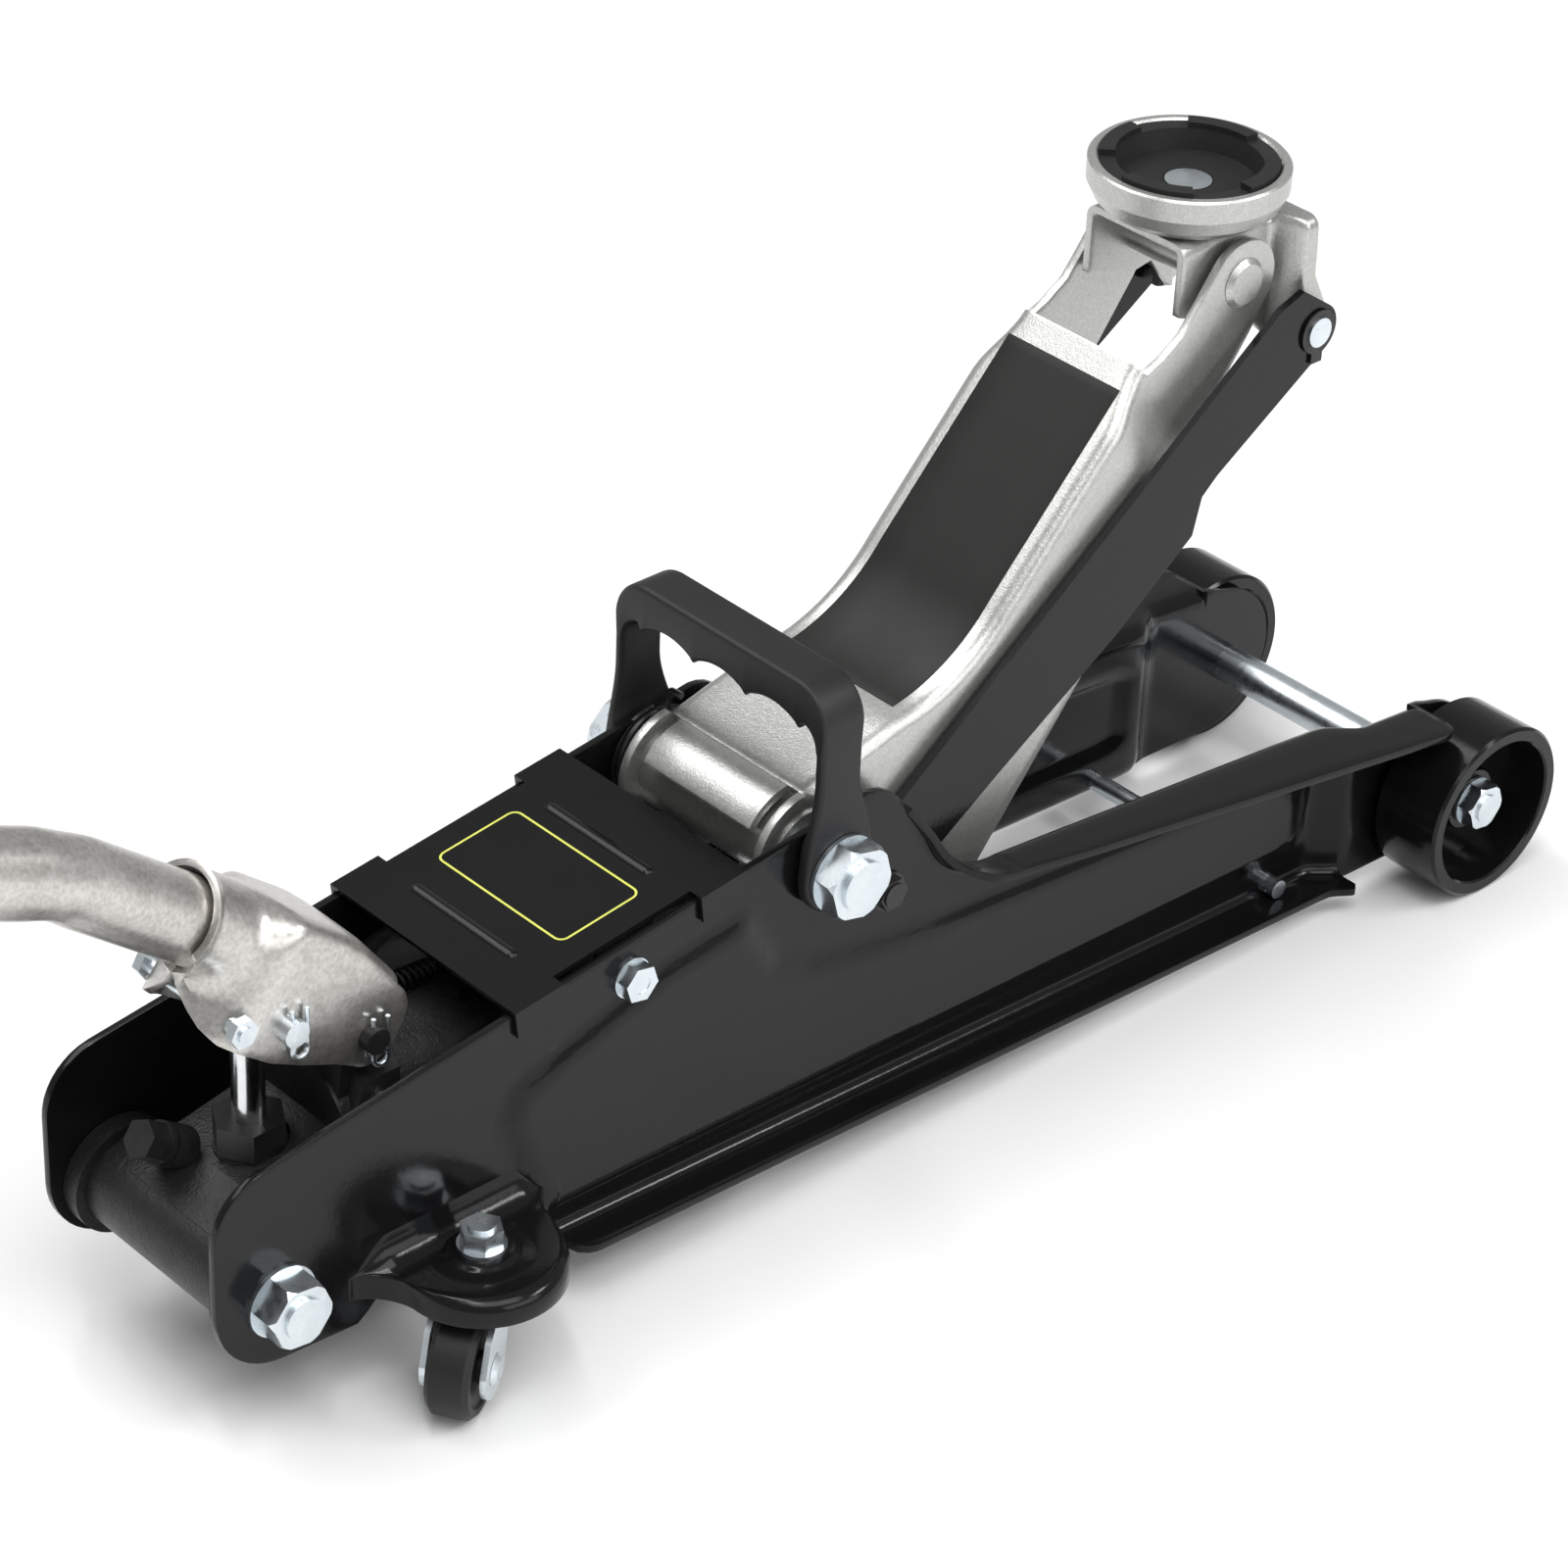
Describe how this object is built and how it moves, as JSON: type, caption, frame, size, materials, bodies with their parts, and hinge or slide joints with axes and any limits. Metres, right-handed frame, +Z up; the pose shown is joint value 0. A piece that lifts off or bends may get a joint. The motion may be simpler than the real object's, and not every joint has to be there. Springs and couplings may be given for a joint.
{
  "type": "hydraulic floor jack",
  "caption": "Low rolling floor jack with a pump handle, a ram-driven lift arm, levelling links and a round cupped saddle.",
  "frame": {"origin": "on the floor, under the middle of the whole length", "axes": "+X towards the front rollers, +Y to the left side, +Z up"},
  "size_m": [1.1234, 0.1938, 0.433],
  "materials": {
    "black_paint": "gloss",
    "zinc": "bright zinc plate",
    "casting": "painted black",
    "black_oxide": "black oxide",
    "silver_paint": "hammered",
    "bright_steel": "ground",
    "panel": "satin film",
    "rubber": "matte",
    "black_plastic": "fine matte"
  },
  "bodies": {
    "chassis": {"side_plate_right": "black_paint", "side_plate_left": "black_paint", "cover_plate": "black_paint", "cover_bolts": "zinc", "front_axle": "zinc", "front_axle_nuts": "zinc", "cross_rod": "zinc", "pump_block": "casting", "tie_rod": "zinc", "tie_rod_nuts": "zinc", "reservoir_tube": "black_paint", "cylinder_gland": "black_oxide", "filler_plug": "black_oxide", "pump_gland": "black_oxide", "pivot_shaft": "zinc", "pivot_nuts": "zinc", "link_pivot_pins": "black_oxide", "spring_pegs": "zinc", "socket_pivot_pin": "black_oxide", "pivot_cotter": "zinc", "caster_bolts": "zinc", "return_spring_right": "black_oxide", "return_spring_left": "black_oxide", "pivot_spring": "black_oxide"},
    "lift_arm": {"lift_arm": "silver_paint", "arm_cross_tube": "silver_paint", "ram_pin": "bright_steel", "arm_panel": "panel", "saddle_pin": "silver_paint"},
    "saddle_bracket": {"saddle_bracket": "silver_paint", "link_top_pins": "zinc", "link_clips": "black_oxide", "saddle_rivet": "zinc"},
    "saddle": {"saddle_cup": "silver_paint", "saddle_insert": "rubber"},
    "link_right": {"link_right": "black_paint"},
    "link_left": {"link_left": "black_paint"},
    "ram": {"ram_rod": "bright_steel", "ram_fork": "black_oxide"},
    "plunger": {"pump_plunger": "bright_steel"},
    "release_valve": {"release_valve": "black_oxide"},
    "handle": {"handle_socket": "silver_paint", "plunger_pin": "zinc", "plunger_cotter": "zinc", "clamp_bolt": "zinc", "handle_lower_tube": "silver_paint", "handle_upper_tube": "silver_paint", "handle_button": "zinc", "handle_grip": "rubber"},
    "carry_handle": {"carry_handle": "black_plastic"},
    "caster_right": {"caster_fork_right": "zinc", "caster_axle_right": "zinc"},
    "caster_left": {"caster_fork_left": "zinc", "caster_axle_left": "zinc"},
    "caster_wheel_right": {"caster_wheel_right": "black_plastic"},
    "caster_wheel_left": {"caster_wheel_left": "black_plastic"},
    "front_roller_right": {"front_roller_right": "black_paint"},
    "front_roller_left": {"front_roller_left": "black_paint"}
  },
  "joints": [
    {"name": "lift", "type": "hinge", "parent": "chassis", "child": "lift_arm", "pos_m": [0.18666, 0, 0.133], "axis": [0, -1, 0], "range_deg": [-54.8, 15.8], "deforming": ["return_spring_right", "return_spring_left", "pivot_spring"]},
    {"name": "saddle_level", "type": "hinge", "parent": "lift_arm", "child": "saddle_bracket", "pos_m": [0.4055, 0, 0.292], "axis": [0, -1, 0], "range_deg": [-16, 55]},
    {"name": "saddle_swivel", "type": "hinge", "parent": "saddle_bracket", "child": "saddle", "pos_m": [0.4055, 0, 0.292], "axis": [0, 0, 1], "continuous": true},
    {"name": "ram_slide", "type": "slide", "parent": "chassis", "child": "ram", "axis": [1, 0, 0], "range_m": [-0.0455, 0.0135]},
    {"name": "handle_pump", "type": "hinge", "parent": "chassis", "child": "handle", "pos_m": [-0.00383, 0, 0.129], "axis": [0, 1, 0], "range_deg": [-36, 5]},
    {"name": "plunger_slide", "type": "slide", "parent": "chassis", "child": "plunger", "axis": [0, 0, 1], "range_m": [-0.0242, 0.0035]},
    {"name": "release_turn", "type": "hinge", "parent": "chassis", "child": "release_valve", "pos_m": [-0.05634, 0.014, 0.084], "axis": [-0.8192, 0, 0.5736], "range_deg": [0, 180]},
    {"name": "carry_fold", "type": "hinge", "parent": "chassis", "child": "carry_handle", "pos_m": [0.18666, 0, 0.133], "axis": [0, -1, 0], "range_deg": [0, 60]},
    {"name": "link_right_swing", "type": "hinge", "parent": "chassis", "child": "link_right", "pos_m": [0.21816, 0, 0.1075], "axis": [0, -1, 0], "range_deg": [-55, 16]},
    {"name": "caster_right_swivel", "type": "hinge", "parent": "chassis", "child": "caster_right", "pos_m": [0.01167, -0.066, 0.045], "axis": [0, 0, 1], "continuous": true},
    {"name": "caster_right_roll", "type": "hinge", "parent": "caster_right", "child": "caster_wheel_right", "pos_m": [-0.00614, -0.07713, 0.0195], "axis": [0.5299, -0.848, 0], "continuous": true},
    {"name": "roller_right_spin", "type": "hinge", "parent": "chassis", "child": "front_roller_right", "pos_m": [0.52367, -0.078, 0.038], "axis": [0, 1, 0], "continuous": true},
    {"name": "link_left_swing", "type": "hinge", "parent": "chassis", "child": "link_left", "pos_m": [0.21816, 0, 0.1075], "axis": [0, -1, 0], "range_deg": [-55, 16]},
    {"name": "caster_left_swivel", "type": "hinge", "parent": "chassis", "child": "caster_left", "pos_m": [0.01167, 0.066, 0.045], "axis": [0, 0, 1], "continuous": true},
    {"name": "caster_left_roll", "type": "hinge", "parent": "caster_left", "child": "caster_wheel_left", "pos_m": [-0.00614, 0.07713, 0.0195], "axis": [0.5299, 0.848, 0], "continuous": true},
    {"name": "roller_left_spin", "type": "hinge", "parent": "chassis", "child": "front_roller_left", "pos_m": [0.52367, 0.078, 0.038], "axis": [0, 1, 0], "continuous": true}
  ],
  "couplings": [
    {"joint": "saddle_level", "follows": "lift", "ratio": -1},
    {"joint": "link_right_swing", "follows": "lift", "ratio": 1},
    {"joint": "link_left_swing", "follows": "lift", "ratio": 1},
    {"joint": "ram_slide", "follows": "lift", "m_per_rad": 0.0468},
    {"joint": "plunger_slide", "follows": "handle_pump", "m_per_rad": 0.0375}
  ]
}
